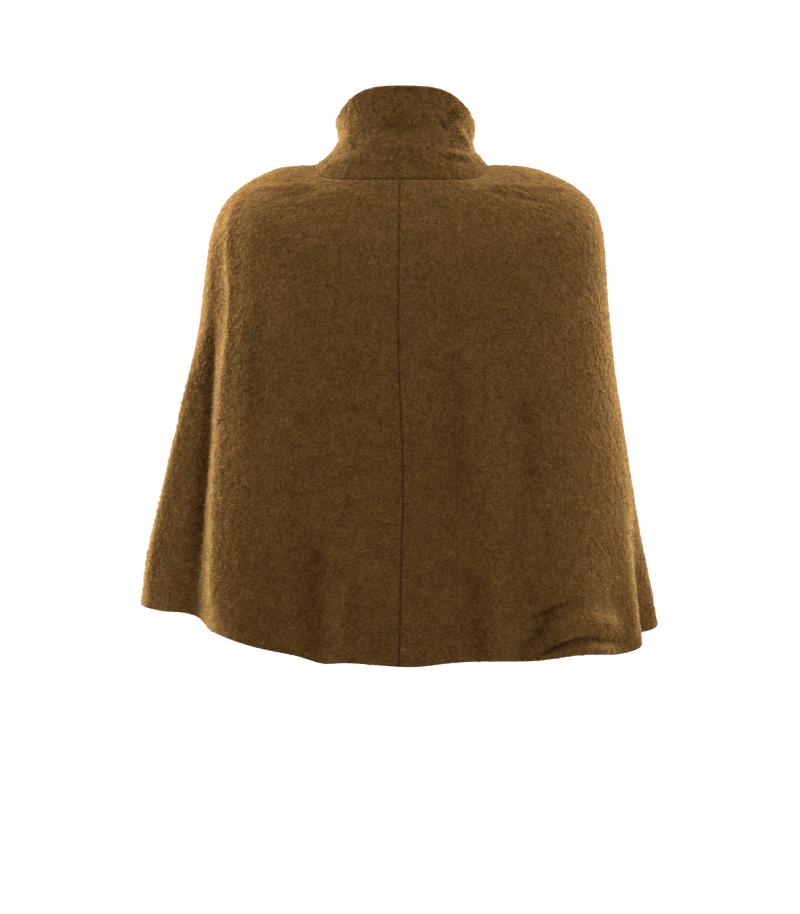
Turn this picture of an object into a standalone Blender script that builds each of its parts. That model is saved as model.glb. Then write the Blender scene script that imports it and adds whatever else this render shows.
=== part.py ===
"""A poncho cardigan in looped wool cloth, in the shape that it takes when it is worn.

Two back panels and two front panels hang from the shoulders as a short cape, under a funnel collar.
Metres, +Z up. The wearer faces -Y, so the centre back is at +Y and the wearer's left is at +X.
The origin is in the middle of the neck, level with the tops of the shoulders that carry the cloth.
An angle goes round the wearer in degrees: 0 at the centre back, 90 at the left side, -90 at the right.
A share goes down the cloth: 0 at the neck seam and 1 at the hem, or 1 at the collar's top edge.
"""
import math
from bisect import bisect_right
from collections import namedtuple

import bpy
from mathutils import Vector

# Cloth
WALL = 0.003
SEAM_GAP = 0.0003
CLOTH_COLOUR = (0.165, 0.095, 0.035, 1.0)
CLOTH_ROUGHNESS = 0.95

# Front opening: half its width at the neck seam, at the hem and at the collar's top edge
OPEN_AT_NECK = 0.007
OPEN_AT_HEM = 0.016
OPEN_AT_COLLAR_TOP = 0.014
FRONT_ANGLE = 180.0

# Mesh density
PANEL_COLUMNS = 26
COLLAR_ROWS = 6
BEND_PULL = 0.035
FINE_STEPS = 360
LONG_ROW = 0.085
FOLDED_FROM = 0.7
PROBE_ANGLE = 0.05
PROBE_SHARE = 0.0005

# A ring runs round the wearer. left and right are its half widths and side_z its height over the arms.
# back and front give its reach from the neck's middle and its height at the two centre lines.
# square is 2 for an ellipse and more for a ring with corners. rise is how late it climbs to side_z.
# Both hold for the back half, and the front half is plain.
Ring = namedtuple("Ring", "left right side_z back_y back_z front_y front_z square rise")

FRONT_SQUARE = 2.3
FRONT_RISE = 2.0

NECK_SEAM = Ring(0.112, 0.110, 0.002, 0.078, -0.026, 0.086, -0.060, 3.2, 7.0)

CAPE_RINGS = (
    NECK_SEAM,
    Ring(0.151, 0.156, 0.000, 0.090, -0.047, 0.098, -0.083, 2.90, 4.0),
    Ring(0.186, 0.201, -0.013, 0.101, -0.075, 0.110, -0.112, 2.60, 3.0),
    Ring(0.213, 0.229, -0.030, 0.110, -0.104, 0.121, -0.141, 2.45, 2.4),
    Ring(0.231, 0.247, -0.049, 0.117, -0.135, 0.131, -0.172, 2.40, 2.0),
    Ring(0.243, 0.257, -0.072, 0.122, -0.165, 0.139, -0.203, 2.35, 2.0),
    Ring(0.250, 0.262, -0.100, 0.126, -0.196, 0.145, -0.232, 2.30, 2.0),
    Ring(0.256, 0.265, -0.155, 0.133, -0.252, 0.153, -0.285, 2.30, 2.0),
    Ring(0.264, 0.271, -0.216, 0.140, -0.312, 0.160, -0.340, 2.30, 2.0),
    Ring(0.274, 0.277, -0.278, 0.147, -0.369, 0.167, -0.391, 2.30, 2.0),
    Ring(0.286, 0.287, -0.339, 0.153, -0.424, 0.173, -0.440, 2.30, 2.0),
    Ring(0.298, 0.296, -0.401, 0.159, -0.478, 0.179, -0.487, 2.30, 2.0),
    Ring(0.309, 0.302, -0.462, 0.165, -0.532, 0.185, -0.532, 2.30, 2.0),
    Ring(0.317, 0.310, -0.521, 0.170, -0.585, 0.190, -0.573, 2.30, 2.0),
    Ring(0.320, 0.315, -0.571, 0.172, -0.631, 0.193, -0.608, 2.30, 2.0),
)

COLLAR_RINGS = (
    NECK_SEAM,
    Ring(0.101, 0.103, 0.009, 0.0745, -0.004, 0.080, -0.040, 2.80, 4.5),
    Ring(0.090, 0.094, 0.019, 0.0710, 0.018, 0.075, -0.021, 2.45, 3.2),
    Ring(0.082, 0.091, 0.034, 0.0685, 0.046, 0.073, 0.000, 2.25, 3.0),
    Ring(0.084, 0.094, 0.048, 0.0690, 0.072, 0.074, 0.018, 2.15, 3.4),
    Ring(0.086, 0.094, 0.059, 0.0715, 0.094, 0.076, 0.034, 2.10, 3.8),
)

# A fold runs down the cape from the share where it starts, and is deepest at the hem.
# Its depth is outwards where it is positive, and its width is in degrees.
Fold = namedtuple("Fold", "start_angle hem_angle width depth start")

FOLDS = (
    Fold(50, 38, 7.0, 0.006, 0.12),
    Fold(66, 56, 10.0, -0.031, 0.10),
    Fold(88, 84, 9.0, 0.017, 0.55),
    Fold(26, 24, 9.0, -0.007, 0.35),
    Fold(12, 12, 5.0, 0.004, 0.60),
    Fold(-9, -11, 6.0, -0.006, 0.35),
    Fold(-17, -19, 6.0, 0.005, 0.30),
    Fold(-26, -28, 5.0, -0.006, 0.72),
    Fold(-42, -43, 9.0, 0.010, 0.65),
    Fold(-64, -66, 6.0, 0.010, 0.76),
    Fold(-76, -76, 5.5, -0.014, 0.76),
    Fold(-88, -87, 6.5, 0.017, 0.72),
    Fold(103, 104, 8.0, -0.016, 0.45),
    Fold(117, 118, 8.0, 0.014, 0.38),
    Fold(131, 131, 8.0, -0.015, 0.34),
    Fold(146, 145, 8.0, 0.013, 0.32),
    Fold(161, 160, 7.5, -0.011, 0.32),
    Fold(-105, -107, 9.0, -0.015, 0.48),
    Fold(-122, -122, 8.0, 0.015, 0.36),
    Fold(-136, -137, 7.5, -0.014, 0.36),
    Fold(-150, -151, 8.0, 0.012, 0.30),
    Fold(-165, -165, 6.5, -0.009, 0.34),
)
FOLD_EASE = 1.25

# Where the hem hangs lower than its ring, or higher where the drop is negative
Dip = namedtuple("Dip", "angle width drop")

HEM_DIPS = (
    Dip(84, 16, -0.004),
    Dip(60, 9, -0.009),
    Dip(42, 9, -0.005),
    Dip(18, 4, 0.005),
    Dip(-2, 7, 0.003),
    Dip(-30, 9, 0.008),
    Dip(-62, 22, 0.037),
    Dip(-82, 6, 0.011),
    Dip(-92, 7, 0.012),
    Dip(118, 9, 0.006),
    Dip(146, 9, 0.005),
    Dip(-122, 9, 0.006),
)
DIPS_FROM = 0.72

# The shoulder seam starts behind the shoulder's top and joins the side seam, down to the hem
SHOULDER_SEAM_SHARES = (0.0, 0.10, 0.20, 0.30, 0.40, 1.0)
SHOULDER_SEAM_ANGLES = (55.0, 50.0, 58.0, 76.0, 88.0, 90.0)


def clear_scene():
    for obj in list(bpy.data.objects):
        bpy.data.objects.remove(obj)


def eased(low, high, value):
    """0 below low, 1 above high, with a smooth climb between."""
    part = min(1.0, max(0.0, (value - low) / (high - low)))
    return part * part * (3 - 2 * part)


def curve_through(places, values, place):
    """A smooth curve through the values at their places, without overshoot between two of them."""
    last = len(places) - 1
    k = min(last - 1, max(0, bisect_right(places, place) - 1))
    step = places[k + 1] - places[k]
    part = (place - places[k]) / step

    def slope_at(i):
        low, high = max(0, i - 1), min(last, i + 1)
        before = (values[i] - values[low]) / (places[i] - places[low]) if i > low else None
        after = (values[high] - values[i]) / (places[high] - places[i]) if high > i else None
        if before is None or after is None:
            return after if before is None else before
        return 0.0 if before * after <= 0 else 2 * before * after / (before + after)

    square, cube = part * part, part * part * part
    return (
        (2 * cube - 3 * square + 1) * values[k]
        + (cube - 2 * square + part) * step * slope_at(k)
        + (3 * square - 2 * cube) * values[k + 1]
        + (cube - square) * step * slope_at(k + 1)
    )


def shares_down(rings):
    """Each ring's distance from the first one along the side, as a share of the whole."""
    lengths = [0.0]
    for upper, lower in zip(rings, rings[1:]):
        lengths.append(lengths[-1] + math.hypot(lower.left - upper.left, lower.side_z - upper.side_z))
    return [length / lengths[-1] for length in lengths]


CAPE_SHARES = shares_down(CAPE_RINGS)
COLLAR_SHARES = shares_down(COLLAR_RINGS)


def ring_at(rings, shares, share):
    columns = zip(*rings)
    return Ring(*(curve_through(shares, column, share) for column in columns))


def point_on_ring(ring, angle):
    """The ring's own point, before any fold."""
    turn = math.radians(angle)
    across, back = math.sin(turn), math.cos(turn)
    half_width = ring.left if across > 0 else ring.right
    if back > 0:
        half_depth, centre_z, square, rise = ring.back_y, ring.back_z, ring.square, ring.rise
    else:
        half_depth, centre_z, square, rise = ring.front_y, ring.front_z, FRONT_SQUARE, FRONT_RISE
    reach = (abs(across) ** square + abs(back) ** square) ** (-1 / square)
    height = centre_z + (ring.side_z - centre_z) * abs(across) ** rise
    return Vector((half_width * across * reach, half_depth * back * reach, height))


def fold_depth(angle, share):
    depth = 0.0
    for fold in FOLDS:
        if share > fold.start:
            grown = (share - fold.start) / (1 - fold.start)
            middle = fold.start_angle + (fold.hem_angle - fold.start_angle) * grown
            depth += fold.depth * grown**FOLD_EASE * math.exp(-(((angle - middle) / fold.width) ** 2))
    return depth


def hem_drop(angle, share):
    near_hem = eased(DIPS_FROM, 1.0, share)
    return near_hem * sum(dip.drop * math.exp(-(((angle - dip.angle) / dip.width) ** 2)) for dip in HEM_DIPS)


def cape_point(angle, share):
    ring = ring_at(CAPE_RINGS, CAPE_SHARES, share)
    point = point_on_ring(ring, angle)
    turn = math.radians(angle)
    outwards = Vector((ring.back_y * math.sin(turn), ring.left * math.cos(turn), 0.0)).normalized()
    point += outwards * fold_depth(angle, share)
    point.z -= hem_drop(angle, share)
    return point


def collar_point(angle, share):
    return point_on_ring(ring_at(COLLAR_RINGS, COLLAR_SHARES, share), angle)


def pace(surface, line, share):
    """How far from a line down the cloth each degree leads. line gives the line's angle at a share."""
    low, high = max(0.0, share - PROBE_SHARE), min(1.0, share + PROBE_SHARE)
    along = (surface(line(high), high) - surface(line(low), low)).normalized()
    angle = line(share)
    around = surface(angle + PROBE_ANGLE, share) - surface(angle - PROBE_ANGLE, share)
    return around.cross(along).length / (2 * PROBE_ANGLE)


def inwards(surface, angle, share):
    """The cloth's unit normal, towards the wearer."""
    low, high = max(0.0, share - PROBE_SHARE), min(1.0, share + PROBE_SHARE)
    along = surface(angle, high) - surface(angle, low)
    around = surface(angle + PROBE_ANGLE, share) - surface(angle - PROBE_ANGLE, share)
    normal = along.cross(around).normalized()
    outer = surface(angle, share)
    away = Vector((outer.x, outer.y, 0.0))
    return -normal if normal.dot(away) > 0 else normal


def shoulder_seam(share):
    return curve_through(SHOULDER_SEAM_SHARES, SHOULDER_SEAM_ANGLES, share)


def centre_front(share):
    return FRONT_ANGLE


def front_edge(surface, half_opening, side, share):
    """The angle of a front edge. side is 1 on the wearer's left and -1 on the right."""
    return side * (FRONT_ANGLE - half_opening / pace(surface, centre_front, share))


def cape_front_edge(side, share):
    return front_edge(cape_point, OPEN_AT_NECK + (OPEN_AT_HEM - OPEN_AT_NECK) * share, side, share)


def collar_front_edge(side, share):
    half_opening = OPEN_AT_NECK + (OPEN_AT_COLLAR_TOP - OPEN_AT_NECK) * share
    return front_edge(collar_point, half_opening, side, share)


def columns_by_bend(first, last):
    """Column places from 0 to 1 between two angles at the hem, closer together where the hem bends."""
    angles = [first + (last - first) * i / FINE_STEPS for i in range(FINE_STEPS + 1)]
    points = [cape_point(angle, 1.0) for angle in angles]
    steps = [(after - before).to_2d() for before, after in zip(points, points[1:])]
    cost = [0.0, steps[0].length]
    for before, step in zip(steps, steps[1:]):
        cost.append(cost[-1] + step.length + BEND_PULL * before.angle(step))
    places = []
    for column in range(PANEL_COLUMNS + 1):
        target = cost[-1] * column / PANEL_COLUMNS
        k = min(FINE_STEPS - 1, bisect_right(cost, target) - 1)
        part = (target - cost[k]) / (cost[k + 1] - cost[k])
        places.append(min(1.0, (k + part) / FINE_STEPS))
    return places


def cape_rows():
    """The ring shares, with one more row in each long stretch where the folds are deep."""
    rows = []
    for upper, lower in zip(CAPE_SHARES, CAPE_SHARES[1:]):
        rows.append(upper)
        if lower > FOLDED_FROM and lower - upper > LONG_ROW:
            rows.append((upper + lower) / 2)
    return rows + [1.0]


def wall(name, surface, grid):
    """A closed wall of cloth. grid is a list of rows of (angle, share), and its inside lies WALL within."""
    outer = [[surface(angle, share) for angle, share in row] for row in grid]
    inner = [
        [point + inwards(surface, angle, share) * WALL for point, (angle, share) in zip(points, row)]
        for points, row in zip(outer, grid)
    ]
    rows, columns = len(grid), len(grid[0])
    vertices = [point for sheet in (outer, inner) for row in sheet for point in row]

    def corner(sheet, row, column):
        return (sheet * rows + row) * columns + column

    faces = []
    for row in range(rows - 1):
        for column in range(columns - 1):
            square = [(row, column), (row, column + 1), (row + 1, column + 1), (row + 1, column)]
            faces.append([corner(0, *place) for place in square])
            faces.append([corner(1, *place) for place in reversed(square)])
    border = [(0, column) for column in range(columns - 1)]
    border += [(row, columns - 1) for row in range(rows - 1)]
    border += [(rows - 1, column) for column in range(columns - 1, 0, -1)]
    border += [(row, 0) for row in range(rows - 1, 0, -1)]
    for here, there in zip(border, border[1:] + border[:1]):
        faces += edge_faces(here, there, grid, corner)
    mesh = bpy.data.meshes.new(name)
    mesh.from_pydata(vertices, [], faces)
    mesh.materials.append(cloth_material(name))
    mesh.shade_smooth()
    mesh.set_sharp_from_angle(angle=math.radians(45))
    obj = bpy.data.objects.new(name, mesh)
    face_outwards(mesh)
    return obj


def edge_faces(here, there, grid, corner):
    """Two triangles across the cloth's edge, split the same way on both sides of a seam."""
    outer_here, outer_there = corner(0, *here), corner(0, *there)
    inner_here, inner_there = corner(1, *here), corner(1, *there)
    (here_angle, here_share), (there_angle, there_share) = grid[here[0]][here[1]], grid[there[0]][there[1]]
    if (here_share, here_angle) < (there_share, there_angle):
        return [[outer_there, outer_here, inner_there], [outer_here, inner_here, inner_there]]
    return [[outer_there, outer_here, inner_here], [outer_there, inner_here, inner_there]]


def face_outwards(mesh):
    """Turns every face round if the closed mesh is inside out."""
    mesh.calc_loop_triangles()
    volume = 0.0
    for triangle in mesh.loop_triangles:
        a, b, c = (mesh.vertices[index].co for index in triangle.vertices)
        volume += a.dot(b.cross(c))
    if volume < 0:
        mesh.flip_normals()


def panel_grid(first_edge, last_edge, places):
    """A panel's rows, half a seam gap inside its two side edges and inside the neck seam."""
    drop = (cape_point(0.0, PROBE_SHARE) - cape_point(0.0, 0.0)).length / PROBE_SHARE
    grid = []
    for row, share in enumerate(cape_rows()):
        share = share if row else SEAM_GAP / 2 / drop
        first, last = first_edge(share), last_edge(share)
        way = 1 if last > first else -1
        first += way * SEAM_GAP / 2 / pace(cape_point, first_edge, share)
        last -= way * SEAM_GAP / 2 / pace(cape_point, last_edge, share)
        grid.append([(first + (last - first) * place, share) for place in places])
    return grid


def collar_grid(back_places, front_places):
    """The collar's rows. Its columns stand over those of the four panels."""
    climb = (collar_point(0.0, PROBE_SHARE) - collar_point(0.0, 0.0)).length / PROBE_SHARE
    grid = []
    for row in range(COLLAR_ROWS + 1):
        share = row / COLLAR_ROWS if row else SEAM_GAP / 2 / climb
        halves = {}
        for side in (1, -1):
            seam, edge = side * shoulder_seam(0.0), collar_front_edge(side, share)
            back = [seam * place for place in back_places[side]]
            front = [seam + (edge - seam) * place for place in front_places[side]]
            halves[side] = back + front[1:]
        angles = halves[-1][:0:-1] + halves[1]
        grid.append([(angle, share) for angle in angles])
    return grid


def cloth_material(piece_name):
    material = bpy.data.materials.new(f"looped_wool_{piece_name}")
    material.use_nodes = True
    shader = material.node_tree.nodes["Principled BSDF"]
    shader.inputs["Base Color"].default_value = CLOTH_COLOUR
    shader.inputs["Roughness"].default_value = CLOTH_ROUGHNESS
    shader.inputs["Metallic"].default_value = 0.0
    return material


def build():
    clear_scene()
    collection = bpy.data.collections.new("poncho_cardigan")
    bpy.context.scene.collection.children.link(collection)
    back_places, front_places = {}, {}
    for side, side_name in ((1, "left"), (-1, "right")):
        hem_seam, hem_edge = side * shoulder_seam(1.0), cape_front_edge(side, 1.0)
        back_places[side] = columns_by_bend(0.0, hem_seam)
        front_places[side] = columns_by_bend(hem_seam, hem_edge)
        back = panel_grid(lambda share: 0.0, lambda share: side * shoulder_seam(share), back_places[side])
        front = panel_grid(
            lambda share: side * shoulder_seam(share),
            lambda share: cape_front_edge(side, share),
            front_places[side],
        )
        collection.objects.link(wall(f"back_{side_name}", cape_point, back))
        collection.objects.link(wall(f"front_{side_name}", cape_point, front))
    grid = collar_grid(back_places, front_places)
    collection.objects.link(wall("collar", collar_point, grid))


build()
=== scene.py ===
# The looks of a poncho cardigan in looped wool cloth, seen from behind, as it hangs when it is worn
import math
from collections import namedtuple
from itertools import product

import bpy
import numpy as np
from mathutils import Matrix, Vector


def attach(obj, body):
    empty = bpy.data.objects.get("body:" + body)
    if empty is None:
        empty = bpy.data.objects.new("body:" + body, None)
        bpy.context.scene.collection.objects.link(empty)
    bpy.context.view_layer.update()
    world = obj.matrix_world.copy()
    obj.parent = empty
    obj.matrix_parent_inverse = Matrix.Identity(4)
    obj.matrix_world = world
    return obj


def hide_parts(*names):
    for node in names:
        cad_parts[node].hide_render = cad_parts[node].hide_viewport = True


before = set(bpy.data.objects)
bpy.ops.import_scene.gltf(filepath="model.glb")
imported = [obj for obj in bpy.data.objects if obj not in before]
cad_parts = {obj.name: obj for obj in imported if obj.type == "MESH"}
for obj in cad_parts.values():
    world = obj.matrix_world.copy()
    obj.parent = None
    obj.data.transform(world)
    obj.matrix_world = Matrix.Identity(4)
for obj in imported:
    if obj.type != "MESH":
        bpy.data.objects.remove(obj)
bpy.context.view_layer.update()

# The garment's form, in metres and degrees, as in the part's own source.
# An angle goes round the wearer: 0 at the centre back, 90 at the left side, -90 at the right.
# A share goes down the cloth: 0 at the neck seam and 1 at the hem, or 1 at the collar's top edge.
Ring = namedtuple("Ring", "left right side_z back_y back_z front_y front_z square rise")
FRONT_SQUARE = 2.3
FRONT_RISE = 2.0

NECK_SEAM = Ring(0.112, 0.110, 0.002, 0.078, -0.026, 0.086, -0.060, 3.2, 7.0)

CAPE_RINGS = (
    NECK_SEAM,
    Ring(0.151, 0.156, 0.000, 0.090, -0.047, 0.098, -0.083, 2.90, 4.0),
    Ring(0.186, 0.201, -0.013, 0.101, -0.075, 0.110, -0.112, 2.60, 3.0),
    Ring(0.213, 0.229, -0.030, 0.110, -0.104, 0.121, -0.141, 2.45, 2.4),
    Ring(0.231, 0.247, -0.049, 0.117, -0.135, 0.131, -0.172, 2.40, 2.0),
    Ring(0.243, 0.257, -0.072, 0.122, -0.165, 0.139, -0.203, 2.35, 2.0),
    Ring(0.250, 0.262, -0.100, 0.126, -0.196, 0.145, -0.232, 2.30, 2.0),
    Ring(0.256, 0.265, -0.155, 0.133, -0.252, 0.153, -0.285, 2.30, 2.0),
    Ring(0.264, 0.271, -0.216, 0.140, -0.312, 0.160, -0.340, 2.30, 2.0),
    Ring(0.274, 0.277, -0.278, 0.147, -0.369, 0.167, -0.391, 2.30, 2.0),
    Ring(0.286, 0.287, -0.339, 0.153, -0.424, 0.173, -0.440, 2.30, 2.0),
    Ring(0.298, 0.296, -0.401, 0.159, -0.478, 0.179, -0.487, 2.30, 2.0),
    Ring(0.309, 0.302, -0.462, 0.165, -0.532, 0.185, -0.532, 2.30, 2.0),
    Ring(0.317, 0.310, -0.521, 0.170, -0.585, 0.190, -0.573, 2.30, 2.0),
    Ring(0.320, 0.315, -0.571, 0.172, -0.631, 0.193, -0.608, 2.30, 2.0),
)

COLLAR_RINGS = (
    NECK_SEAM,
    Ring(0.101, 0.103, 0.009, 0.0745, -0.004, 0.080, -0.040, 2.80, 4.5),
    Ring(0.090, 0.094, 0.019, 0.0710, 0.018, 0.075, -0.021, 2.45, 3.2),
    Ring(0.082, 0.091, 0.034, 0.0685, 0.046, 0.073, 0.000, 2.25, 3.0),
    Ring(0.084, 0.094, 0.048, 0.0690, 0.072, 0.074, 0.018, 2.15, 3.4),
    Ring(0.086, 0.094, 0.059, 0.0715, 0.094, 0.076, 0.034, 2.10, 3.8),
)

# A fold runs down the cape from the share where it starts, and is deepest at the hem
Fold = namedtuple("Fold", "start_angle hem_angle width depth start")
FOLDS = (
    Fold(50, 38, 7.0, 0.006, 0.12),
    Fold(66, 56, 10.0, -0.031, 0.10),
    Fold(88, 84, 9.0, 0.017, 0.55),
    Fold(26, 24, 9.0, -0.007, 0.35),
    Fold(12, 12, 5.0, 0.004, 0.60),
    Fold(-9, -11, 6.0, -0.006, 0.35),
    Fold(-17, -19, 6.0, 0.005, 0.30),
    Fold(-26, -28, 5.0, -0.006, 0.72),
    Fold(-42, -43, 9.0, 0.010, 0.65),
    Fold(-64, -66, 6.0, 0.010, 0.76),
    Fold(-76, -76, 5.5, -0.014, 0.76),
    Fold(-88, -87, 6.5, 0.017, 0.72),
    Fold(103, 104, 8.0, -0.016, 0.45),
    Fold(117, 118, 8.0, 0.014, 0.38),
    Fold(131, 131, 8.0, -0.015, 0.34),
    Fold(146, 145, 8.0, 0.013, 0.32),
    Fold(161, 160, 7.5, -0.011, 0.32),
    Fold(-105, -107, 9.0, -0.015, 0.48),
    Fold(-122, -122, 8.0, 0.015, 0.36),
    Fold(-136, -137, 7.5, -0.014, 0.36),
    Fold(-150, -151, 8.0, 0.012, 0.30),
    Fold(-165, -165, 6.5, -0.009, 0.34),
)
FOLD_EASE = 1.25

Dip = namedtuple("Dip", "angle width drop")
HEM_DIPS = (
    Dip(84, 16, -0.004),
    Dip(60, 9, -0.009),
    Dip(42, 9, -0.005),
    Dip(18, 4, 0.005),
    Dip(-2, 7, 0.003),
    Dip(-30, 9, 0.008),
    Dip(-62, 22, 0.037),
    Dip(-82, 6, 0.011),
    Dip(-92, 7, 0.012),
    Dip(118, 9, 0.006),
    Dip(146, 9, 0.005),
    Dip(-122, 9, 0.006),
)
DIPS_FROM = 0.72

SHOULDER_SEAM_SHARES = (0.0, 0.10, 0.20, 0.30, 0.40, 1.0)
SHOULDER_SEAM_ANGLES = (55.0, 50.0, 58.0, 76.0, 88.0, 90.0)
FRONT_ANGLE = 180.0
OPEN_AT_NECK = 0.007
OPEN_AT_HEM = 0.016
OPEN_AT_COLLAR_TOP = 0.014

# The centre-back seam wanders a little. Metres towards the wearer's left, at shares down the back.
SEAM_WANDER_SHARES = (0.0, 0.30, 0.62, 0.78, 1.0)
SEAM_WANDER = (0.003, 0.005, -0.001, 0.001, 0.004)

# Creases and soft swellings, each along a line through places given as (angle, share).
# width is half its breadth in metres, and depth is outwards where it is positive.
Crease = namedtuple("Crease", "width depth places")
CAPE_CREASES = (
    # Two soft ridges below the left shoulder, which run together into the big fold
    Crease(0.0090, 0.0036, ((74, 0.14), (62, 0.24), (56, 0.34), (54, 0.45), (52, 0.60))),
    Crease(0.0100, 0.0020, ((76, 0.25), (73, 0.33), (71, 0.42), (70, 0.52))),
    # The big fold's rounded crest and sharp foot, and the flat panel beyond it with its turned edge
    Crease(0.0170, 0.0060, ((58, 0.38), (54, 0.55), (50, 0.72), (46, 0.88), (44, 1.04))),
    Crease(0.0090, -0.0070, ((69, 0.36), (66, 0.50), (62, 0.66), (59, 0.82), (56, 1.04))),
    Crease(0.0150, 0.0085, ((77, 0.42), (77, 0.58), (77, 0.74), (77, 0.90), (77, 1.10))),
    # The buckled hem on the right, with the cloth puffed out above it
    Crease(
        0.0040, -0.0070,
        ((-29, 0.996), (-33, 0.985), (-37, 0.974), (-42, 0.968), (-48, 0.971), (-62, 0.976)),
    ),
    Crease(0.0120, 0.0070, ((-34, 0.960), (-38, 0.948), (-44, 0.938), (-51, 0.944), (-60, 0.950))),
    Crease(0.0045, 0.0030, ((-31, 1.000), (-38, 0.992), (-48, 0.990), (-60, 0.992))),
    Crease(0.0045, -0.0036, ((-28, 0.922), (-32, 0.912), (-36, 0.905), (-42, 0.900))),
    Crease(0.0100, -0.0042, ((-25, 1.010), (-28, 0.975), (-31, 0.950), (-34, 0.920), (-36, 0.900))),
    Crease(0.0090, 0.0026, ((-28, 0.885), (-35, 0.880), (-42, 0.878))),
    # Broad soft hollows and swellings of the back
    Crease(0.0160, -0.0030, ((-14, 0.36), (-14, 0.56), (-14, 0.74))),
    Crease(0.0160, 0.0028, ((-22, 0.38), (-21, 0.56), (-20, 0.76))),
    Crease(0.0160, -0.0028, ((-33, 0.46), (-32, 0.60), (-30, 0.76))),
    Crease(0.0140, -0.0034, ((-16, 0.80), (-17, 0.90), (-17, 1.04))),
    Crease(0.0065, 0.0026, ((9, 0.71), (12, 0.85), (14, 1.00))),
    Crease(0.0180, 0.0024, ((8, 0.76), (6, 0.88), (6, 1.05))),
    Crease(0.0160, -0.0046, ((20, 0.72), (20, 0.88), (18, 1.05))),
    Crease(0.0200, 0.0030, ((31, 0.50), (32, 0.72), (33, 0.98))),
    Crease(0.0140, -0.0022, ((42, 0.30), (41, 0.45), (38, 0.62))),
    # Drag lines from the neck over both shoulders
    Crease(0.0060, 0.0018, ((44, 0.02), (50, 0.06), (60, 0.11), (74, 0.15))),
    Crease(0.0050, -0.0016, ((38, 0.04), (44, 0.08), (52, 0.13))),
    Crease(0.0060, 0.0020, ((-42, 0.02), (-50, 0.07), (-62, 0.12), (-76, 0.16))),
    Crease(0.0055, -0.0018, ((-36, 0.05), (-44, 0.10), (-54, 0.15))),
    # The hidden front, creased in the same way
    Crease(0.0070, -0.0030, ((96, 0.16), (101, 0.26), (103, 0.38))),
    Crease(0.0110, 0.0030, ((124, 0.14), (121, 0.26), (118, 0.42))),
    Crease(0.0090, -0.0030, ((142, 0.12), (137, 0.24), (133, 0.40))),
    Crease(0.0060, -0.0040, ((108, 0.93), (115, 0.95), (124, 0.94))),
    Crease(0.0120, 0.0040, ((106, 0.88), (114, 0.90), (124, 0.89))),
    Crease(0.0070, -0.0032, ((-98, 0.18), (-104, 0.30), (-106, 0.44))),
    Crease(0.0100, 0.0032, ((-128, 0.13), (-124, 0.25), (-122, 0.40))),
    Crease(0.0080, -0.0028, ((-146, 0.12), (-140, 0.24), (-136, 0.40))),
    Crease(0.0060, -0.0036, ((-128, 0.95), (-138, 0.93), (-147, 0.94))),
    Crease(0.0150, 0.0030, ((-152, 0.55), (-151, 0.75), (-151, 0.95))),
)
COLLAR_CREASES = (
    # The dent in the collar's right side and the lit fold beside it
    Crease(0.0090, -0.0044, ((-29, 0.58), (-36, 0.66), (-42, 0.77), (-46, 0.90))),
    Crease(0.0090, 0.0038, ((-40, 0.72), (-47, 0.66), (-56, 0.55), (-66, 0.38))),
    Crease(0.0060, -0.0022, ((-60, 0.75), (-66, 0.62), (-74, 0.48))),
    Crease(0.0040, -0.0019, ((-24, 0.235), (-33, 0.238), (-42, 0.205), (-54, 0.165))),
    Crease(0.0055, 0.0024, ((-22, 0.30), (-32, 0.31), (-44, 0.28), (-56, 0.24))),
    # The left side, drawn towards the shoulder, and soft hollows of the middle
    Crease(0.0070, 0.0018, ((68, 0.06), (54, 0.12), (42, 0.20), (31, 0.30))),
    Crease(0.0080, -0.0018, ((46, 0.66), (42, 0.54), (38, 0.42), (35, 0.30))),
    Crease(0.0090, 0.0026, ((62, 0.92), (58, 0.72), (52, 0.52), (50, 0.36))),
    Crease(0.0110, -0.0024, ((16, 0.66), (4, 0.60), (-10, 0.66))),
    Crease(0.0120, 0.0022, ((20, 0.40), (0, 0.36), (-20, 0.42))),
    # The hidden front of the collar
    Crease(0.0060, -0.0032, ((96, 0.80), (104, 0.56), (118, 0.30))),
    Crease(0.0070, 0.0030, ((112, 0.84), (120, 0.60), (134, 0.34))),
    Crease(0.0060, -0.0032, ((-104, 0.78), (-112, 0.52), (-126, 0.28))),
    Crease(0.0070, 0.0030, ((-122, 0.86), (-132, 0.60), (-144, 0.36))),
)

# Each crease's line has this many points, and the crease fades out over this share of it at either end
CREASE_POINTS = 25
CREASE_TAPER = 0.28
# Past this many times its width a crease is too shallow to count
CREASE_REACH = 2.6

# The cloth's thickness, the roll and depth of its seams, and the swelling beside them, in metres
WALL = 0.003
SEAM_ROLL = 0.0030
SEAM_DEPTH = 0.0030
SEAM_SWELL = 0.0005
SEAM_SWELL_PLACE = 0.0055
SEAM_SWELL_WIDTH = 0.0028
# How much of a seam's depth the inner side has
INNER_SEAM_SHARE = 0.6
# The roll of a cut edge, and the mesh lines close to every edge that make it round, in metres from it.
# The even mesh lines start at this many times the distance of the last of those.
EDGE_ROLL = 0.0020
EDGE_STEPS = (0.0005, 0.0012, 0.0022)
EDGE_CLEARANCE = 1.4
# How strongly each seam draws the cloth in. The neck seam fades where the collar turns over the
# shoulders, and the side seams of each panel fade where they meet the neck seam.
NECK_SEAM_ANGLES = (0.0, 28.0, 52.0, 118.0, 140.0, 180.0)
NECK_SEAM_STRENGTH = (0.55, 0.50, 0.10, 0.10, 0.5, 0.5)
CENTRE_SEAM = 1.5
SHOULDER_SEAM = 0.14
SEAM_AT_NECK = 0.2

# Painted light and shade in the cloth's colour: how much lighter it is painted where its loops stand out
# and darker in their hollows, and how much painted shade darkens a seam and a crease
PAINTED_NUB_SHADING_PER_METRE = 300.0
PAINTED_SEAM_SHADE = 0.94
PAINTED_CREASE_SHADE_PER_METRE = 60.0
DARKEST_PAINTED_SHADING = 0.15
LIGHTEST_PAINTED_SHADING = 1.9

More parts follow.
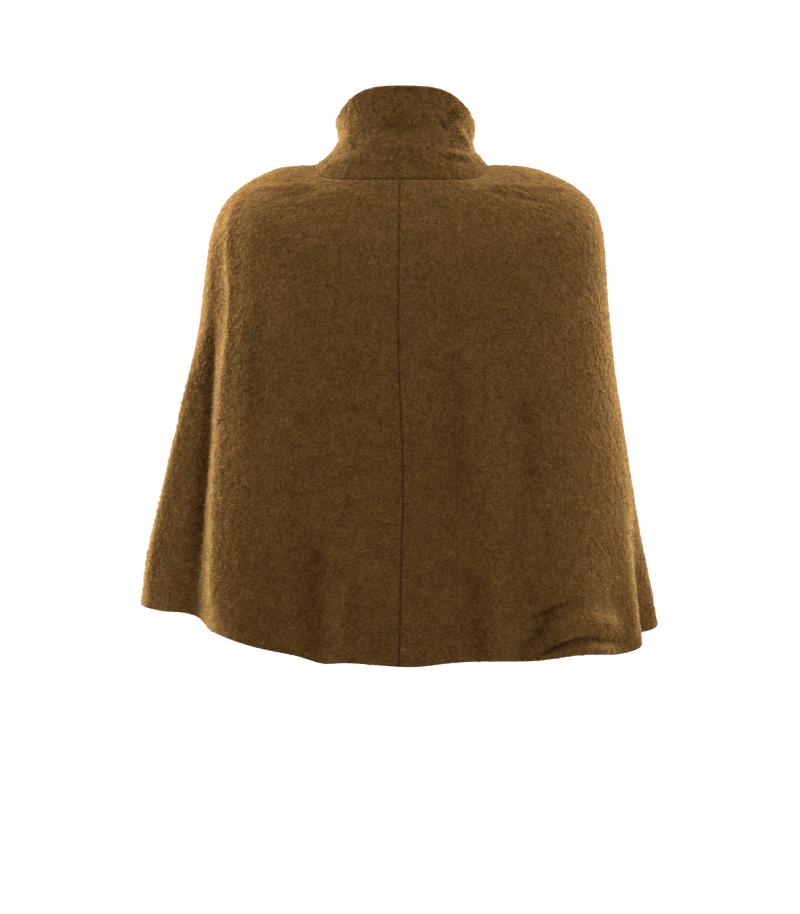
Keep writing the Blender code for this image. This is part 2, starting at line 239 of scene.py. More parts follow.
# The cloth's uneven surface: its nubs' breadth and height in metres, and a stretch below 1 where
# they are longer downwards than across
Nubs = namedtuple("Nubs", "size height stretch")
UNEVENNESS = (Nubs(0.0900, 0.0012, 1.0),)
LOOPS = (
    Nubs(0.0130, 0.00040, 0.8),
    Nubs(0.0062, 0.00052, 0.7),
    Nubs(0.0036, 0.00070, 0.8),
)
# The inner side has this share of the loops' height, from another place of the same noise
INNER_NUBS = 0.35
INNER_NUBS_MOVED = 0.5
# The share of the loops' height that is left at a seam
LOOPS_AT_SEAM = 0.4
# Creases and broad unevenness grow from nothing over these distances from the neck seam
CREASES_FROM_NECK = 0.006
UNEVEN_FROM_NECK = 0.02
# How strong the loops are on each part
CAPE_RELIEF = 1.0
COLLAR_RELIEF = 1.3

# Mesh spacing in metres. The inner side keeps one mesh line in four.
BACK_SPACING = 0.0019
FRONT_SPACING = 0.0024
COLLAR_SPACING = 0.0017
INNER_STEP = 4
MEASURING_STEPS = 2001

# Nap: low curls of yarn that lie on the cloth, and thin hairs that stand out of it.
# Each kind has its share of all strands, and ranges in metres for their length, their width, and how
# far their bend and their tip stand out.
Nap = namedtuple("Nap", "share length width lift tip")
CURLS = Nap(0.62, (0.0035, 0.0075), (0.00040, 0.00075), (0.0006, 0.0015), (-0.0002, 0.0010))
HAIRS = Nap(0.38, (0.0030, 0.0065), (0.00020, 0.00038), (0.0010, 0.0022), (0.0016, 0.0040))
NAP_ROOT = 0.0003
NAP_LEVEL = 1.6
NAP_BEND_PLACE = 0.5
NAP_BEND_ASIDE = 0.22
NAP_TIP_PLACE = (0.7, 1.0)
NAP_TILT = 0.5
NAP_SHADES = (0.72, 1.28)
RIBBON_POINTS = 5
RIBBON_TRIANGLES = ((0, 1, 3), (0, 3, 2), (2, 3, 4))
# No nap grows where the cloth's painted shade is darker than this, deep in a seam
BARE_BELOW = 0.5
BACK_NAP = 36000
FRONT_NAP = 20000
COLLAR_NAP = 14000

# The photograph's view: the camera's place, and the scale at the part's middle
CAMERA_DISTANCE = 2.8
CAMERA_X = 0.0026
CAMERA_Z = -0.377
METRES_PER_PIXEL = 0.0013
PHOTO_HEIGHT = 914
SENSOR = 36.0


def slopes_of(places, values):
    """A slope at each place that keeps a cubic through the values from overshooting."""
    steps = np.diff(values) / np.diff(places)
    before, after = steps[:-1], steps[1:]
    same_way = before * after > 0
    total = np.where(same_way, before + after, 1.0)
    middle = np.where(same_way, 2 * before * after / total, 0.0)
    return np.concatenate([steps[:1], middle, steps[-1:]])


def curve_through(places, values, place):
    """The smooth curve through the values, at a place or at many."""
    places, values = np.asarray(places, float), np.asarray(values, float)
    slopes = slopes_of(places, values)
    k = np.clip(np.searchsorted(places, place, side="right") - 1, 0, len(places) - 2)
    step = places[k + 1] - places[k]
    part = (place - places[k]) / step
    square, cube = part**2, part**3
    return (
        (2 * cube - 3 * square + 1) * values[k]
        + (cube - 2 * square + part) * step * slopes[k]
        + (3 * square - 2 * cube) * values[k + 1]
        + (cube - square) * step * slopes[k + 1]
    )


def eased(low, high, value):
    """Rises smoothly from 0 at low to 1 at high."""
    part = np.clip((value - low) / (high - low), 0.0, 1.0)
    return part * part * (3 - 2 * part)


def shares_down(rings):
    """Each ring's distance from the first one along the side, as a share of the whole."""
    pairs = zip(rings, rings[1:])
    steps = [math.hypot(low.left - up.left, low.side_z - up.side_z) for up, low in pairs]
    return np.concatenate([[0.0], np.cumsum(steps)]) / sum(steps)


def ring_surface(rings, angle, share):
    """Points of the rings' smooth surface, and the level direction out of it."""
    shares = shares_down(rings)
    ring = Ring(*(curve_through(shares, column, share) for column in zip(*rings)))
    turn = np.radians(angle)
    across, back = np.sin(turn), np.cos(turn)
    behind = back > 0
    half_width = np.where(across > 0, ring.left, ring.right)
    half_depth = np.where(behind, ring.back_y, ring.front_y)
    centre_z = np.where(behind, ring.back_z, ring.front_z)
    square = np.where(behind, ring.square, FRONT_SQUARE)
    rise = np.where(behind, ring.rise, FRONT_RISE)
    reach = (np.abs(across) ** square + np.abs(back) ** square) ** (-1 / square)
    height = centre_z + (ring.side_z - centre_z) * np.abs(across) ** rise
    points = np.stack([half_width * across * reach, half_depth * back * reach, height], -1)
    outwards = np.stack([ring.back_y * across, ring.left * back, 0 * height], -1)
    return points, outwards / np.linalg.norm(outwards, axis=-1, keepdims=True)


def cape_surface(angle, share):
    """Points of the cape's smooth form with its folds and dips."""
    angle, share = np.broadcast_arrays(np.asarray(angle, float), np.asarray(share, float))
    points, outwards = ring_surface(CAPE_RINGS, angle, share)
    depth = np.zeros(angle.shape)
    for fold in FOLDS:
        grown = np.maximum(0.0, (share - fold.start) / (1 - fold.start))
        middle = fold.start_angle + (fold.hem_angle - fold.start_angle) * grown
        depth += fold.depth * grown**FOLD_EASE * np.exp(-(((angle - middle) / fold.width) ** 2))
    drop = sum(dip.drop * np.exp(-(((angle - dip.angle) / dip.width) ** 2)) for dip in HEM_DIPS)
    points = points + outwards * depth[..., None]
    points[..., 2] -= eased(DIPS_FROM, 1.0, share) * drop
    return points


def collar_surface(angle, share):
    """Points of the collar's smooth form."""
    angle, share = np.broadcast_arrays(np.asarray(angle, float), np.asarray(share, float))
    return ring_surface(COLLAR_RINGS, angle, share)[0]


def pace(surface, angle, share):
    """How far the surface goes round for each degree."""
    probe = 0.05
    ahead = surface(angle + probe, share) - surface(angle - probe, share)
    return np.linalg.norm(ahead, axis=-1) / (2 * probe)


def centre_back(share):
    """The angle of the centre-back seam at a share."""
    wander = curve_through(SEAM_WANDER_SHARES, SEAM_WANDER, share)
    return wander / pace(cape_surface, 0.0, share)


def side_seam(side):
    """The angle of a shoulder and side seam, as a function of the share."""
    return lambda share: side * curve_through(SHOULDER_SEAM_SHARES, SHOULDER_SEAM_ANGLES, share)


def front_edge(surface, side, open_at_end):
    """The angle of a front edge, as a function of the share."""

    def edge(share):
        half_opening = OPEN_AT_NECK + (open_at_end - OPEN_AT_NECK) * share
        return side * (FRONT_ANGLE - half_opening / pace(surface, FRONT_ANGLE, share))

    return edge


# Smooth noise: how many random directions it has, how a cell picks its own, its gain and its place
NOISE_DIRECTIONS = 4096
CELL_PRIMES = (73856093, 19349663, 83492791)
NOISE_GAIN = 1.6
NOISE_OFFSET = 100.0


def gradient_noise(points, seed):
    """Smooth noise from about -1 to 1, with features one unit wide."""
    rng = np.random.default_rng(seed)
    directions = rng.normal(size=(NOISE_DIRECTIONS, 3))
    directions /= np.linalg.norm(directions, axis=1, keepdims=True)
    base = np.floor(points).astype(np.int64)
    part = points - base
    ease = part**3 * (part * (part * 6 - 15) + 10)
    total = np.zeros(len(points))
    for corner in product((0, 1), repeat=3):
        mixed = (base + corner) * CELL_PRIMES
        pick = (mixed[:, 0] ^ mixed[:, 1] ^ mixed[:, 2]) % NOISE_DIRECTIONS
        weight = np.prod(np.where(corner, ease, 1 - ease), axis=1)
        total += weight * np.einsum("ij,ij->i", directions[pick], part - corner)
    return total * NOISE_GAIN


def nub_height(points, listed):
    """How far the listed nubs make the cloth stand out at each point."""
    height = np.zeros(len(points))
    for seed, nubs in enumerate(listed):
        cells = points / nubs.size
        cells[:, 2] *= nubs.stretch
        height += nubs.height * gradient_noise(cells + NOISE_OFFSET, seed)
    return height


def beyond_hem(surface, angles, shares):
    """Points of the surface, led on straight below its last share."""
    step = 0.01
    points = surface(angles, np.minimum(shares, 1))
    over = np.maximum(shares - 1, 0)[:, None]
    fall = surface(angles, 1.0) - surface(angles, 1 - step)
    return points + fall * over / step


def crease_height(points, surface, creases):
    """How far the creases and swellings move each point."""
    height = np.zeros(len(points))
    for crease in creases:
        angles, shares = np.array(crease.places, float).T
        stops = np.linspace(0, 1, len(angles))
        along = np.linspace(0, 1, CREASE_POINTS)
        angles, shares = curve_through(stops, angles, along), curve_through(stops, shares, along)
        line = beyond_hem(surface, angles, shares)
        reach = CREASE_REACH * crease.width
        near = np.all((points > line.min(0) - reach) & (points < line.max(0) + reach), axis=1)
        spots = points[near]
        nearest = np.full(len(spots), np.inf)
        place = np.zeros(len(spots))
        for k, (start, end) in enumerate(zip(line, line[1:])):
            run = end - start
            part = np.clip((spots - start) @ run / max(run @ run, 1e-12), 0, 1)
            gap = np.linalg.norm(spots - start - part[:, None] * run, axis=1)
            closer = gap < nearest
            nearest[closer] = gap[closer]
            place[closer] = (k + part[closer]) / (len(line) - 1)
        taper = eased(0.0, CREASE_TAPER, place) * eased(0.0, CREASE_TAPER, 1 - place)
        height[near] += crease.depth * taper * np.exp(-((nearest / crease.width) ** 2))
    return height


def surface_normals(surface, angles, shares):
    """Unit normals of the smooth surface, away from the wearer."""
    turn, fall = 0.05, 0.0005
    low, high = np.maximum(shares - fall, 0), np.minimum(shares + fall, 1)
    across = surface(angles + turn, shares) - surface(angles - turn, shares)
    down = surface(angles, high) - surface(angles, low)
    normals = np.cross(across, down)
    normals /= np.linalg.norm(normals, axis=-1, keepdims=True)
    turned = np.radians(angles)
    away = normals[..., 0] * np.sin(turned) + normals[..., 1] * np.cos(turned)
    return normals if away.sum() > 0 else -normals


def grid_distances(points, axis):
    """How far along its row or column each point is from the grid's first edge, and from its last."""
    steps = np.linalg.norm(np.diff(points, axis=axis), axis=-1)
    pad = np.zeros_like(np.take(steps, [0], axis=axis))
    from_first = np.concatenate([pad, np.cumsum(steps, axis=axis)], axis=axis)
    whole = np.take(from_first, [-1], axis=axis)
    return from_first, whole - from_first


def lowest_near(values, reach):
    """The lowest value in the square round each place, so that the inner side never comes through."""
    padded = np.pad(values, reach, mode="edge")
    windows = np.lib.stride_tricks.sliding_window_view(padded, (2 * reach + 1, 2 * reach + 1))
    return windows.min(axis=(2, 3))


def rolled(distance, radius, depth):
    """How far an edge rolls in at a distance from it."""
    part = np.clip(1 - distance / radius, 0.0, 1.0)
    return depth * (1 - np.sqrt(1 - part * part))


def spaced_places(length, spacing):
    """Places from 0 to 1 about spacing apart, with a few close to each end for its rolled edge."""
    count = INNER_STEP * round(length / spacing / INNER_STEP)
    middle = np.linspace(0, 1, count + 1)
    near = np.array(EDGE_STEPS) / length
    clear = near[-1] * EDGE_CLEARANCE
    middle = middle[(middle > clear) & (middle < 1 - clear)]
    return np.concatenate([[0.0], near, middle, 1 - near[::-1], [1.0]])


def shell_grid(surface, first_edge, last_edge, spacing):
    """A panel's smooth points, its angles and its shares, with even columns at the hem."""
    fine = np.linspace(0, 1, MEASURING_STEPS)
    low, high = first_edge(1.0), last_edge(1.0)
    hem = surface(low + (high - low) * fine, 1.0)
    run = np.concatenate([[0], np.cumsum(np.linalg.norm(np.diff(hem, axis=0), axis=1))])
    columns = np.interp(spaced_places(run[-1], spacing) * run[-1], run, fine)
    fall = surface(np.full(MEASURING_STEPS, low), fine)
    length = np.sum(np.linalg.norm(np.diff(fall, axis=0), axis=1))
    rows = spaced_places(length, spacing)
    first, last = first_edge(rows), last_edge(rows)
    angles = first[:, None] + (last - first)[:, None] * columns
    shares = np.broadcast_to(rows[:, None], angles.shape)
    return surface(angles, shares), angles, shares


def thinned(count):
    """The rows or columns that the plain inner side keeps."""
    kept = list(range(0, count - 1, INNER_STEP))
    return np.array(kept + [count - 1])


def strip_between(fine, coarse, kept):
    """Triangles between a fine border and the coarse one inside it."""
    faces = []
    nearest = np.searchsorted((kept[:-1] + kept[1:]) / 2, np.arange(len(fine)))
    for k in range(len(fine) - 1):
        here, there = nearest[k], nearest[k + 1]
        faces.append((fine[k], fine[k + 1], coarse[here]))
        if here != there:
            faces.append((fine[k + 1], coarse[there], coarse[here]))
    return faces


def mesh_object(name, points, quads, triangles, material):
    """A smooth-shaded object in the scene."""
    mesh = bpy.data.meshes.new(name)
    loops = np.concatenate([np.ravel(quads), np.ravel(triangles)]).astype(np.int32)
    sizes = np.concatenate([np.full(len(quads), 4), np.full(len(triangles), 3)]).astype(np.int32)
    starts = np.concatenate([[0], np.cumsum(sizes)[:-1]]).astype(np.int32)
    mesh.vertices.add(len(points))
    mesh.vertices.foreach_set("co", np.asarray(points, np.float32).ravel())
    mesh.loops.add(len(loops))
    mesh.loops.foreach_set("vertex_index", loops)
    mesh.polygons.add(len(sizes))
    mesh.polygons.foreach_set("loop_start", starts)
    mesh.polygons.foreach_set("use_smooth", np.ones(len(sizes), bool))
    mesh.update(calc_edges=True)
    mesh.validate()
    mesh.materials.append(material)
    obj = bpy.data.objects.new(name, mesh)
    bpy.context.scene.collection.objects.link(obj)
    return obj


def grid_quads(rows, columns, start=0):
    """A grid's point numbers and its faces."""
    index = start + np.arange(rows * columns).reshape(rows, columns)
    corners = [index[:-1, :-1], index[:-1, 1:], index[1:, 1:], index[1:, :-1]]
    return index, np.stack(corners, -1).reshape(-1, 4)


def seam_profile(distance):
    """How far a seam draws the cloth in at a distance from it, with a soft swelling beside it."""
    swell = SEAM_SWELL * np.exp(-(((distance - SEAM_SWELL_PLACE) / SEAM_SWELL_WIDTH) ** 2))
    return rolled(distance, SEAM_ROLL, SEAM_DEPTH) - swell


def cloth_shell(panel, grid, material):
    """A closed shell of cloth with rolled edges. Returns it with its outer points, normals and painted
    light and shade.
    """
    smooth, angles, shares = grid
    normals = surface_normals(panel.surface, angles, shares)
    level = ring_surface(panel.rings, angles, shares)[1]
    from_top, from_bottom = grid_distances(smooth, 0)
    from_first, from_last = grid_distances(smooth, 1)
    side_in = np.zeros(shares.shape)
    edge_in = np.zeros(shares.shape)
    near_seam = np.full(shares.shape, np.inf)
    neck_in = seam_profile(from_top) * neck_seam(angles)
    sides = ((from_bottom, 0), (from_first, panel.seams.first), (from_last, panel.seams.last))
    for distance, strength in sides:
        if strength:
            side_in = np.maximum(side_in, strength * seam_profile(distance))
            near_seam = np.minimum(near_seam, distance)
        else:
            edge_in = np.maximum(edge_in, rolled(distance, EDGE_ROLL, WALL / 2))
    side_in *= SEAM_AT_NECK + (1 - SEAM_AT_NECK) * eased(0.0, 2 * SEAM_ROLL, from_top)
    flat_points = smooth.reshape(-1, 3)
    creased = crease_height(flat_points, panel.surface, panel.creases).reshape(shares.shape)
    creased *= eased(0.0, CREASES_FROM_NECK, from_top)
    uneven = nub_height(flat_points, UNEVENNESS).reshape(shares.shape)
    soft = creased + uneven * eased(0.0, UNEVEN_FROM_NECK, from_top)
    nubs = nub_height(flat_points, LOOPS).reshape(shares.shape)
    from_seam = LOOPS_AT_SEAM + (1 - LOOPS_AT_SEAM) * eased(0.0, SEAM_ROLL, near_seam)
    nubs *= panel.relief * from_seam * eased(0.0, SEAM_ROLL, from_top)
    body = smooth + normals * soft[..., None]
    inner_body = smooth + normals * lowest_near(soft, INNER_STEP)[..., None]
    drawn_in = level * neck_in[..., None] + normals * side_in[..., None]
    outer = body + normals * (nubs - edge_in)[..., None] - drawn_in
    rows_kept, columns_kept = thinned(shares.shape[0]), thinned(shares.shape[1])
    pick = np.ix_(rows_kept, columns_kept)
    inner_places = body[pick].reshape(-1, 3) + INNER_NUBS_MOVED
    lift = INNER_NUBS * nub_height(inner_places, LOOPS).reshape(len(rows_kept), -1)
    inner = inner_body[pick] - normals[pick] * (WALL - lift - edge_in[pick])[..., None]
    inner -= INNER_SEAM_SHARE * drawn_in[pick]
    outer_index, outer_quads = grid_quads(*shares.shape)
    inner_index, inner_quads = grid_quads(len(rows_kept), len(columns_kept), outer_index.size)
    borders = (
        (outer_index[0], inner_index[0], columns_kept, False),
        (outer_index[:, -1], inner_index[:, -1], rows_kept, False),
        (outer_index[-1], inner_index[-1], columns_kept, True),
        (outer_index[:, 0], inner_index[:, 0], rows_kept, True),
    )
    triangles = []
    for fine, coarse, kept, turned in borders:
        for face in strip_between(fine, coarse, kept):
            triangles.append(face if turned else face[::-1])
    points = np.concatenate([outer.reshape(-1, 3), inner.reshape(-1, 3)])
    quads = np.concatenate([outer_quads, inner_quads[:, ::-1]])
    obj = mesh_object(f"cloth_{panel.node}", points, quads, np.array(triangles), material)
    if signed_volume(points, quads, np.array(triangles)) < 0:
        obj.data.flip_normals()
    painted_seam_shade_share = np.maximum(side_in, neck_in) / SEAM_DEPTH
    # Painted highlight on the loops' tops, painted shade in their hollows and along the creases
    painted_shading = 1 + PAINTED_NUB_SHADING_PER_METRE * nubs + PAINTED_CREASE_SHADE_PER_METRE * np.minimum(creased, 0)
    # Painted shade darkens the colour along the seams' grooves, as deep as each seam draws the cloth in
    painted_shading -= PAINTED_SEAM_SHADE * np.clip(painted_seam_shade_share, 0, 1)
    # The painted light and shade are stored on the mesh and scale the material's colour
    store_painted_shading(obj, np.concatenate([painted_shading.ravel(), np.ones(pick[0].size * pick[1].size)]))
    return obj, outer, normals, painted_shading


def store_painted_shading(obj, painted_shading):
    """Keeps the painted light and shade for each point of the mesh, which the material reads into the
    colour.
    """
    attribute = obj.data.attributes.new("painted_shading_attribute", "FLOAT", "POINT")
    attribute.data.foreach_set("value", np.clip(painted_shading, DARKEST_PAINTED_SHADING, LIGHTEST_PAINTED_SHADING).astype(np.float32))


def signed_volume(points, quads, triangles):
    """Negative where the faces look inwards."""
    halves = np.concatenate([quads[:, [0, 1, 2]], quads[:, [0, 2, 3]], triangles])
    a, b, c = (points[halves[:, k]] for k in range(3))
    return np.einsum("ij,ij->", a, np.cross(b, c)) / 6


def cell_areas(points):
    """The area of each cell of a grid."""
    down = np.diff(points, axis=0)[:, :-1]
    across = np.diff(points, axis=1)[:-1]
    return np.linalg.norm(np.cross(down, across), axis=-1)


def between(rng, limits, count):
    """One number drawn between the limits for each strand, as a column."""
    return rng.uniform(*limits, (count, 1))


def nap_strands(rng, kind, outer, normals, painted_shading, count):
    """Points of thin bent ribbons on the cloth: two at the root, two at the bend and one at the tip."""
    areas = cell_areas(outer) * (painted_shading[:-1, :-1] > BARE_BELOW)
    picked = rng.choice(areas.size, count, p=areas.ravel() / areas.sum())
    row, column = np.divmod(picked, areas.shape[1])
    u, v = rng.random((2, count, 1))
    here = outer[row, column]
    root = here + (outer[row, column + 1] - here) * u + (outer[row + 1, column] - here) * v
    normal = normals[row, column]
    swirl = rng.normal(size=(count, 3)) * (NAP_LEVEL, NAP_LEVEL, 1.0)
    swirl -= normal * np.sum(swirl * normal, axis=1, keepdims=True)
    swirl /= np.linalg.norm(swirl, axis=1, keepdims=True)
    sideways = np.cross(normal, swirl)
    length, width = between(rng, kind.length, count), between(rng, kind.width, count)
    bend = root + swirl * length * NAP_BEND_PLACE + normal * between(rng, kind.lift, count)
    bend += sideways * length * between(rng, (-NAP_BEND_ASIDE, NAP_BEND_ASIDE), count)
    tip = root + swirl * length * between(rng, NAP_TIP_PLACE, count)
    tip += normal * between(rng, kind.tip, count)
    tilt = sideways + normal * between(rng, (-NAP_TILT, NAP_TILT), count)
    half = tilt * width / 2
    start = root - normal * NAP_ROOT
    return np.stack([start - half, start + half, bend - half, bend + half, tip], 1), row, column


def nap(name, outer, normals, painted_shading, count, seed, material):
    """The nap of one panel as thin bent ribbons in one mesh."""
    rng = np.random.default_rng(seed)
    strands, painted_and_random_shades = [], []
    for kind in (CURLS, HAIRS):
        points, row, column = nap_strands(rng, kind, outer, normals, painted_shading, round(count * kind.share))
        strands.append(points)
        # Each strand takes the painted light and shade of the cloth at its root, times a random shade of
        # its own
        painted_and_random_shades.append(painted_shading[row, column] * rng.uniform(*NAP_SHADES, len(points)))
    points = np.concatenate(strands).reshape(-1, 3)
    first = np.arange(0, len(points), RIBBON_POINTS)[:, None, None]
    triangles = (first + np.array(RIBBON_TRIANGLES)).reshape(-1, 3)
    obj = mesh_object(name, points, np.zeros((0, 4), int), triangles, material)
    store_painted_shading(obj, np.repeat(np.concatenate(painted_and_random_shades), RIBBON_POINTS))
    return obj


# Wool's noises, with their features to the metre: grains of colour, broad clouds and fine curls
Noise = namedtuple("Noise", "scale detail rough")
GRAIN = Noise(480.0, 3.0, 0.70)
CLOUD = Noise(30.0, 3.0, 0.6)
CURL = Noise(750.0, 2.0, 0.6)
DARK_STOP = 0.34
MIDDLE_STOP = 0.52
LIGHT_STOP = 0.70
CLOUD_RANGE = (0.3, 0.7)
CLOUD_TONES = (0.93, 1.07)
CURL_BUMP = 0.6
CURL_HEIGHT = 0.0012
ROUGHNESS = 0.95
SHEEN_ROUGHNESS = 0.45
SHEEN_TINT = (1.0, 0.70, 0.29, 1)
# How much of the light goes into the cloth, and how far red, green and blue spread there, in metres
GLOW = 0.35
GLOW_REACH = (0.0035, 0.0018, 0.0006)

Wool = namedtuple("Wool", "name dark middle light sheen")
CLOTH_WOOL = Wool(
    "looped_wool",
    dark=(0.073, 0.0330, 0.0079), middle=(0.135, 0.063, 0.0160), light=(0.217, 0.109, 0.031),
    sheen=0.22,
)
FIBRE_WOOL = Wool(
    "wool_fibre",
    dark=(0.096, 0.046, 0.0117), middle=(0.174, 0.087, 0.0237), light=(0.281, 0.151, 0.045),
    sheen=1.0,
)


def wool_material(wool):
    """Brown wool with a fine uneven colour, scaled by the stored painted light and shade, and a soft
    golden sheen.
    """
    material = bpy.data.materials.new(wool.name)
    material.use_nodes = True
    nodes, links = material.node_tree.nodes, material.node_tree.links
    shader = nodes["Principled BSDF"]
    coordinates = nodes.new("ShaderNodeTexCoord")

    def noise_node(noise):
        node = nodes.new("ShaderNodeTexNoise")
        node.inputs["Scale"].default_value = noise.scale
        node.inputs["Detail"].default_value = noise.detail
        node.inputs["Roughness"].default_value = noise.rough
        links.new(coordinates.outputs["Object"], node.inputs["Vector"])
        return node

    grain = noise_node(GRAIN)
    ramp = nodes.new("ShaderNodeValToRGB")
    dark, light = ramp.color_ramp.elements
    dark.position = DARK_STOP
    dark.color = (*wool.dark, 1)
    light.position = LIGHT_STOP
    light.color = (*wool.light, 1)
    middle = ramp.color_ramp.elements.new(MIDDLE_STOP)
    middle.color = (*wool.middle, 1)
    links.new(grain.outputs["Fac"], ramp.inputs["Fac"])

    cloud = noise_node(CLOUD)
    shade = nodes.new("ShaderNodeMapRange")
    shade.inputs["From Min"].default_value = CLOUD_RANGE[0]
    shade.inputs["From Max"].default_value = CLOUD_RANGE[1]
    shade.inputs["To Min"].default_value = CLOUD_TONES[0]
    shade.inputs["To Max"].default_value = CLOUD_TONES[1]
    links.new(cloud.outputs["Fac"], shade.inputs["Value"])
    # The stored painted light and shade, times the broad clouds, scale the colour
    painted_shading_attribute = nodes.new("ShaderNodeAttribute")
    painted_shading_attribute.attribute_name = "painted_shading_attribute"
    whole = nodes.new("ShaderNodeMath")
    whole.operation = "MULTIPLY"
    links.new(shade.outputs["Result"], whole.inputs[0])
    links.new(painted_shading_attribute.outputs["Fac"], whole.inputs[1])
    tint = nodes.new("ShaderNodeVectorMath")
    tint.operation = "SCALE"
    links.new(ramp.outputs["Color"], tint.inputs[0])
    links.new(whole.outputs["Value"], tint.inputs["Scale"])
    links.new(tint.outputs["Vector"], shader.inputs["Base Color"])

    curl = noise_node(CURL)
    bump = nodes.new("ShaderNodeBump")
    bump.inputs["Strength"].default_value = CURL_BUMP
    bump.inputs["Distance"].default_value = CURL_HEIGHT
    links.new(curl.outputs["Fac"], bump.inputs["Height"])
    links.new(bump.outputs["Normal"], shader.inputs["Normal"])

    shader.inputs["Roughness"].default_value = ROUGHNESS
    shader.inputs["Specular IOR Level"].default_value = 0.0
    shader.inputs["Subsurface Weight"].default_value = GLOW
    shader.inputs["Subsurface Radius"].default_value = GLOW_REACH
    shader.inputs["Subsurface Scale"].default_value = 1.0
    shader.inputs["Sheen Weight"].default_value = wool.sheen
    shader.inputs["Sheen Roughness"].default_value = SHEEN_ROUGHNESS
    shader.inputs["Sheen Tint"].default_value = SHEEN_TINT
    return material


def neck_seam(angles):
    """How strongly the neck seam draws the cloth in at each angle."""
    return np.interp(np.abs(angles), NECK_SEAM_ANGLES, NECK_SEAM_STRENGTH)


# How strongly each side edge of a panel is drawn in by its seam, and 0 where it has none
Seams = namedtuple("Seams", "first last")
Panel = namedtuple("Panel", "node surface rings edges seams spacing creases relief nap seed")
BACK_SEED = 10
FRONT_SEED = 20
COLLAR_SEED = 40


def panels():
    """The five pieces of the cut."""
    listed = []
    for side, name in ((1, "left"), (-1, "right")):
        front = front_edge(cape_surface, side, OPEN_AT_HEM)
        listed.append(
            Panel(
                f"back_{name}", cape_surface, CAPE_RINGS, (centre_back, side_seam(side)),
                Seams(CENTRE_SEAM, SHOULDER_SEAM),
                BACK_SPACING, CAPE_CREASES, CAPE_RELIEF, BACK_NAP, BACK_SEED + side,
            )
        )
        listed.append(
            Panel(
                f"front_{name}", cape_surface, CAPE_RINGS, (side_seam(side), front),
                Seams(SHOULDER_SEAM, 0),
                FRONT_SPACING, CAPE_CREASES, CAPE_RELIEF, FRONT_NAP, FRONT_SEED + side,
            )
        )
    collar_edges = tuple(front_edge(collar_surface, side, OPEN_AT_COLLAR_TOP) for side in (-1, 1))
    listed.append(
        Panel(
            "collar", collar_surface, COLLAR_RINGS, collar_edges, Seams(0, 0),
            COLLAR_SPACING, COLLAR_CREASES, COLLAR_RELIEF, COLLAR_NAP, COLLAR_SEED,
        )
    )
    return listed


def cloth_piece(panel, cloth, fibre):
    """One panel's shell and nap, as a sheet that replaces the panel's solid."""
    grid = shell_grid(panel.surface, *panel.edges, panel.spacing)
    piece, outer, normals, painted_shading = cloth_shell(panel, grid, cloth)
    fibres = nap(f"nap_{panel.node}", outer, normals, painted_shading, panel.nap, panel.seed, fibre)
    for obj in (piece, fibres):
        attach(obj, "root")
    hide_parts(panel.node)
    smooth = grid[0]
    area = float(cell_areas(smooth).sum())
    width = float(np.linalg.norm(np.diff(smooth, axis=1), axis=-1).sum(axis=1).max())
    length = float(np.linalg.norm(np.diff(smooth, axis=0), axis=-1).sum(axis=0).max())
    area = min(area, width * length)
    print(f"{panel.node}: {width:.3f} x {length:.3f} m, area {area:.3f}")


def dress():
    """Dresses every solid in its cloth."""
    cloth = wool_material(CLOTH_WOOL)
    fibre = wool_material(FIBRE_WOOL)
    for panel in panels():
        cloth_piece(panel, cloth, fibre)


# Stage: a pale floor that rises into a pale wall all round
FLOOR_Z = -1.35
FLOOR_RADIUS = 3.2
BEND_RADIUS = 1.6
BEND_STEPS = 12
WALL_TOP = 3.0
STAGE_SEGMENTS = 96
STAGE_COLOUR = (0.30, 0.30, 0.30)


def stage_material():
    """Grey paint that looks white to the camera alone."""
    material = bpy.data.materials.new("pale_stage")
    material.use_nodes = True
    nodes, links = material.node_tree.nodes, material.node_tree.links
    shader = nodes["Principled BSDF"]
    shader.inputs["Base Color"].default_value = (*STAGE_COLOUR, 1)
    shader.inputs["Roughness"].default_value = 0.9
    shader.inputs["Emission Color"].default_value = (1, 1, 1, 1)
    seen = nodes.new("ShaderNodeLightPath")
    links.new(seen.outputs["Is Camera Ray"], shader.inputs["Emission Strength"])
    return material


def build_stage():
    """A round floor whose edge bends up into a wall."""
    profile = [(0.0, FLOOR_Z), (FLOOR_RADIUS, FLOOR_Z)]
    for k in range(1, BEND_STEPS + 1):
        turn = math.pi / 2 * k / BEND_STEPS
        out = FLOOR_RADIUS + BEND_RADIUS * math.sin(turn)
        up = FLOOR_Z + BEND_RADIUS * (1 - math.cos(turn))
        profile.append((out, up))
    profile.append((FLOOR_RADIUS + BEND_RADIUS, WALL_TOP))
    mesh = bpy.data.meshes.new("stage")
    mesh.from_pydata([(x, 0, z) for x, z in profile], [(k, k + 1) for k in range(len(profile) - 1)], [])
    stage = bpy.data.objects.new("stage", mesh)
    bpy.context.scene.collection.objects.link(stage)
    turned = stage.modifiers.new("turned", "SCREW")
    turned.steps = STAGE_SEGMENTS
    turned.render_steps = STAGE_SEGMENTS
    turned.use_merge_vertices = True
    turned.merge_threshold = 0.0001
    turned.use_smooth_shade = True
    mesh.materials.append(stage_material())


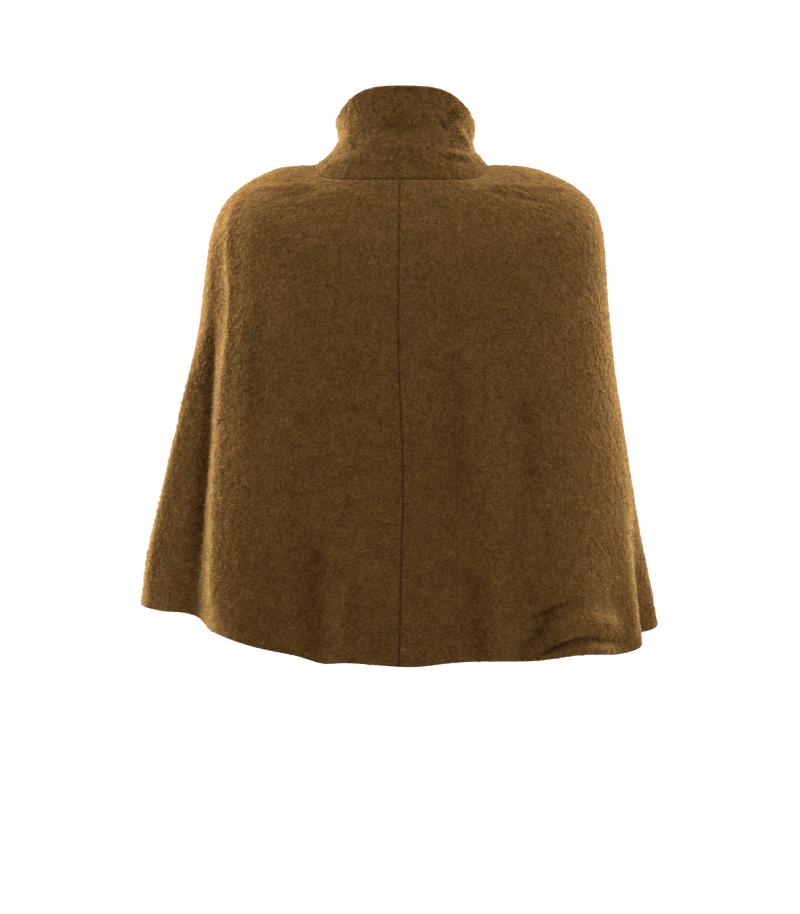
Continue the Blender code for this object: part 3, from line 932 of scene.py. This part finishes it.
# Lamps stand round the part. An angle is from the camera's side of it, towards the wearer's left.
Lamp = namedtuple("Lamp", "name angle distance height width tall power")
LAMPS = (
    Lamp("fill_right", -80, 3.2, -0.2, 1.0, 2.4, 20.0),
    Lamp("front_left", 95, 3.2, -0.2, 1.0, 2.4, 66.0),
    Lamp("front_right", -95, 3.2, -0.2, 1.0, 2.4, 28.0),
    Lamp("side_left", 120, 3.2, -0.2, 1.0, 2.4, 315.0),
    Lamp("rim_left", 145, 3.2, -0.2, 1.0, 2.4, 80.0),
    Lamp("side_right", -125, 3.2, -0.2, 1.0, 2.4, 90.0),
    Lamp("rim_right", -140, 3.2, -0.2, 1.0, 2.4, 235.0),
    Lamp("high_left", 118, 2.4, 1.9, 1.4, 1.4, 165.0),
    Lamp("high_right", -118, 2.4, 1.9, 1.4, 1.4, 160.0),
    Lamp("over_left", 45, 0.71, 1.3, 0.6, 0.6, 15.0),
    Lamp("over_right", -45, 0.71, 1.3, 0.6, 0.6, 11.0),
)
LAMP_TARGET = Vector((0.0, 0.0, -0.3))


def build_lights():
    """Soft lamps round the part, and a room that is white to the camera alone."""
    for lamp in LAMPS:
        data = bpy.data.lights.new(lamp.name, "AREA")
        data.shape = "RECTANGLE"
        data.size = lamp.width
        data.size_y = lamp.tall
        data.energy = lamp.power
        obj = bpy.data.objects.new(lamp.name, data)
        turn = math.radians(lamp.angle)
        place = Vector((lamp.distance * math.sin(turn), lamp.distance * math.cos(turn), lamp.height))
        obj.location = place
        obj.rotation_euler = (LAMP_TARGET - place).to_track_quat("-Z", "Y").to_euler()
        obj.visible_camera = False
        bpy.context.scene.collection.objects.link(obj)
    world = bpy.data.worlds.new("room")
    world.use_nodes = True
    background = world.node_tree.nodes["Background"]
    background.inputs["Color"].default_value = (1, 1, 1, 1)
    seen = world.node_tree.nodes.new("ShaderNodeLightPath")
    world.node_tree.links.new(seen.outputs["Is Camera Ray"], background.inputs["Strength"])
    bpy.context.scene.world = world
    bpy.context.scene.view_settings.view_transform = "Standard"


def build_camera():
    """The camera behind the part, with the photograph's frame."""
    data = bpy.data.cameras.new("camera")
    data.sensor_fit = "VERTICAL"
    data.sensor_height = SENSOR
    data.lens = SENSOR * CAMERA_DISTANCE / (PHOTO_HEIGHT * METRES_PER_PIXEL)
    camera = bpy.data.objects.new("camera", data)
    camera.location = (CAMERA_X, CAMERA_DISTANCE, CAMERA_Z)
    camera.rotation_euler = (math.radians(90), 0, math.radians(180))
    bpy.context.scene.collection.objects.link(camera)
    bpy.context.scene.camera = camera


build_camera()
build_lights()
build_stage()
dress()
